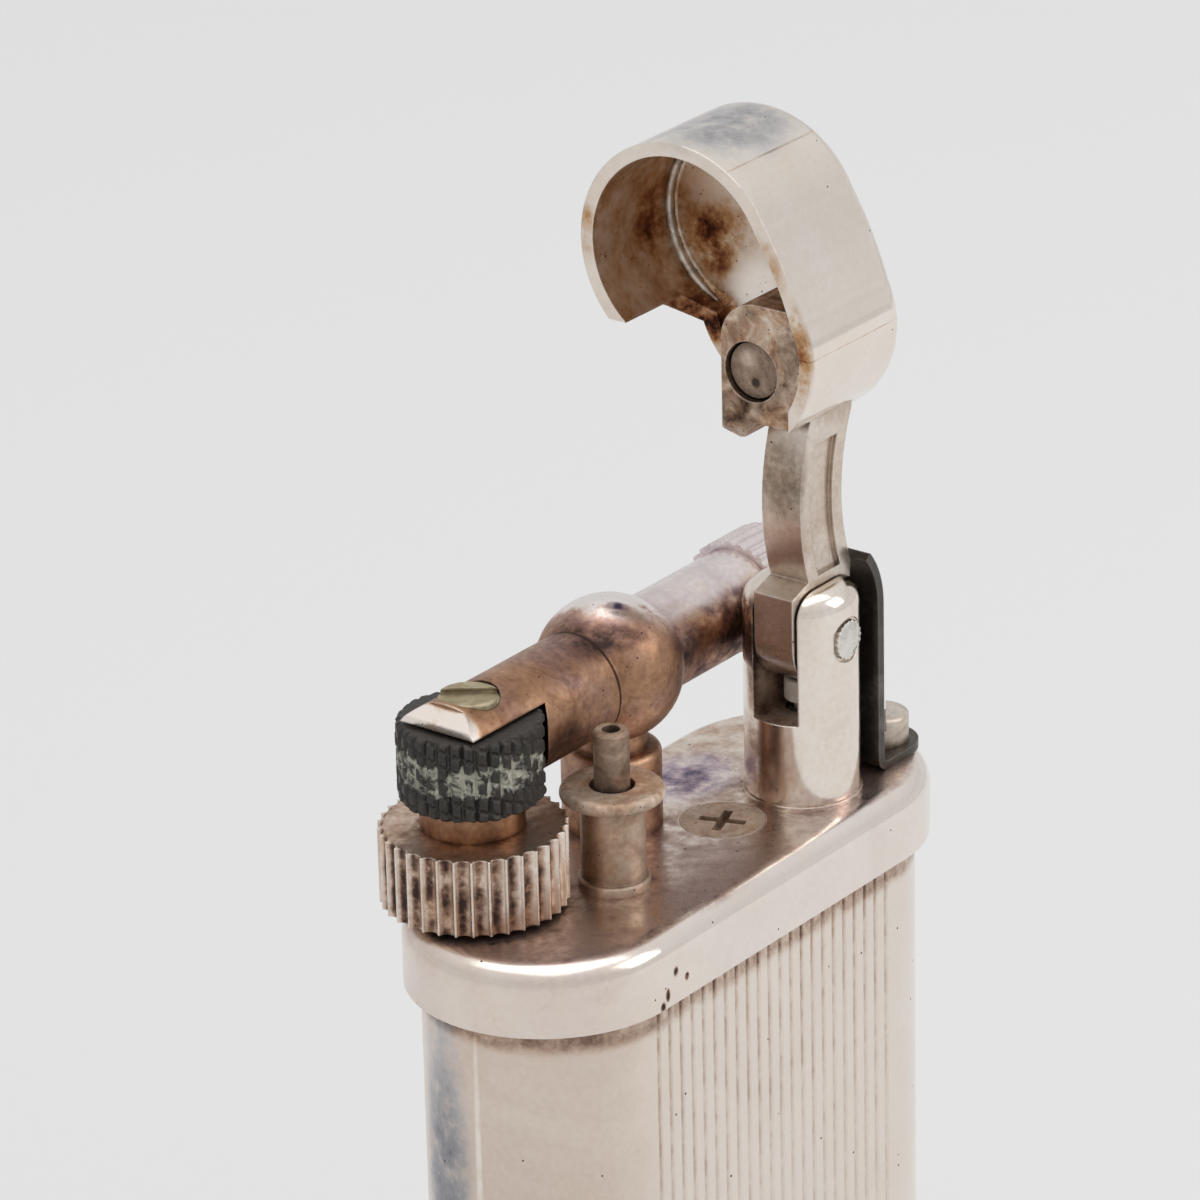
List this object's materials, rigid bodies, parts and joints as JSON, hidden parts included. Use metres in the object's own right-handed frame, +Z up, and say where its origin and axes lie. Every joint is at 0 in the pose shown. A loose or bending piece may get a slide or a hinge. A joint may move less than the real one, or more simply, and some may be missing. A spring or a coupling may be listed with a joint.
{
  "type": "pocket lighter",
  "caption": "Gas pocket lighter: flat round-ended body with cut lines, spark wheel on a ball-jointed flint tube, raised nozzle, and a hinged arm that carries a hood with a snuffer pad",
  "frame": {"origin": "middle of the flat base, on the face that the lighter stands on", "axes": "+Z up, +X along the body from the spark wheel toward the leaf spring, +Y toward the flint tube; the arm stands open along +Z at rest"},
  "size_m": [0.0342, 0.0155, 0.0857],
  "materials": {
    "silver_plate": "silver plate over brass, polished, warm and tarnished with age",
    "brass": "turned brass",
    "spring_steel": "drawn spring wire",
    "dark_steel": "hardened dark steel, sooted",
    "sooted_metal": "cast metal under soot and heat stain",
    "pad_rubber": "worn grey heat-resistant pad",
    "seal_rubber": "black seal rubber"
  },
  "bodies": {
    "frame": {"body_shell": "silver_plate", "base_plate": "silver_plate", "top_plate": "silver_plate", "plate_screw": "silver_plate", "tank_cup": "brass", "tank_lid": "brass", "filler_body": "brass", "filler_seal": "seal_rubber", "filler_spring": "spring_steel", "filler_retainer": "brass", "adjuster_body": "brass", "adjuster_ring": "seal_rubber", "burner_barrel": "silver_plate", "burner_flange": "silver_plate", "nozzle_spring": "spring_steel", "valve_body": "brass", "nozzle_ring": "seal_rubber", "flow_filter": "brass", "ball_post": "silver_plate", "post_screw": "silver_plate", "tube_ball": "silver_plate", "front_flint_tube": "silver_plate", "rear_flint_tube": "silver_plate", "wheel_washer": "silver_plate", "wheel_axle": "silver_plate", "pillar_washer": "silver_plate", "pillar": "silver_plate", "hinge_pin": "silver_plate", "follower_spring": "spring_steel", "leaf_spring": "dark_steel", "leaf_screw": "silver_plate", "lever_bracket": "brass", "lever_pin": "spring_steel"},
    "lift_arm": {"arm": "silver_plate", "hood": "silver_plate", "pad_block": "sooted_metal", "pad": "pad_rubber"},
    "raising_nozzle": {"nozzle": "silver_plate", "valve_pad": "seal_rubber"},
    "push_rod": {"follower": "silver_plate"},
    "lever": {"valve_lever": "brass"},
    "wheel": {"thumb_wheel": "silver_plate", "wheel_collar": "brass", "spark_wheel": "dark_steel"},
    "flint_train": {"flint": "dark_steel", "flint_plunger": "brass", "flint_spring": "spring_steel"},
    "tube_cap": {"flint_cap": "silver_plate"},
    "filler": {"filler_stem": "brass"},
    "adjuster": {"adjuster_screw": "brass"}
  },
  "joints": [
    {"name": "arm_hinge", "type": "hinge", "parent": "frame", "child": "lift_arm", "pos_m": [0.00787, -0.0026, 0.06073], "axis": [0, -1, 0], "range_deg": [0, 90]},
    {"name": "nozzle_slide", "type": "slide", "parent": "frame", "child": "raising_nozzle", "axis": [0, 0, 1], "range_m": [-0.00188, 0], "deforming": ["nozzle_spring"]},
    {"name": "push_rod_slide", "type": "slide", "parent": "frame", "child": "push_rod", "axis": [0, 0, 1], "range_m": [-0.0003, 0], "deforming": ["follower_spring"]},
    {"name": "lever_hinge", "type": "hinge", "parent": "frame", "child": "lever", "pos_m": [0.01056, -0.0015, 0.0497], "axis": [0, -1, 0], "range_deg": [0, 6.42]},
    {"name": "wheel_spin", "type": "hinge", "parent": "frame", "child": "wheel", "pos_m": [-0.0116, 0.00315, 0.058], "axis": [0, 0, 1], "continuous": true},
    {"name": "flint_feed", "type": "slide", "parent": "frame", "child": "flint_train", "axis": [1, 0, 0], "range_m": [0, 0.0005], "stiffness_N_per_m": 200},
    {"name": "cap_turn", "type": "hinge", "parent": "frame", "child": "tube_cap", "pos_m": [0.0115, 0.00315, 0.0603], "axis": [1, 0, 0], "continuous": true},
    {"name": "filler_push", "type": "slide", "parent": "frame", "child": "filler", "axis": [0, 0, 1], "range_m": [0, 0.001], "stiffness_N_per_m": 200, "deforming": ["filler_spring"]},
    {"name": "adjuster_turn", "type": "hinge", "parent": "frame", "child": "adjuster", "pos_m": [-0.0065, 0, 0.003], "axis": [0, 0, 1], "range_deg": [0, 270]}
  ],
  "couplings": [
    {"joint": "nozzle_slide", "follows": "arm_hinge", "m_per_rad": -0.001196},
    {"joint": "push_rod_slide", "follows": "arm_hinge", "m_per_rad": -0.00019},
    {"joint": "lever_hinge", "follows": "arm_hinge", "ratio": 0.0713}
  ]
}
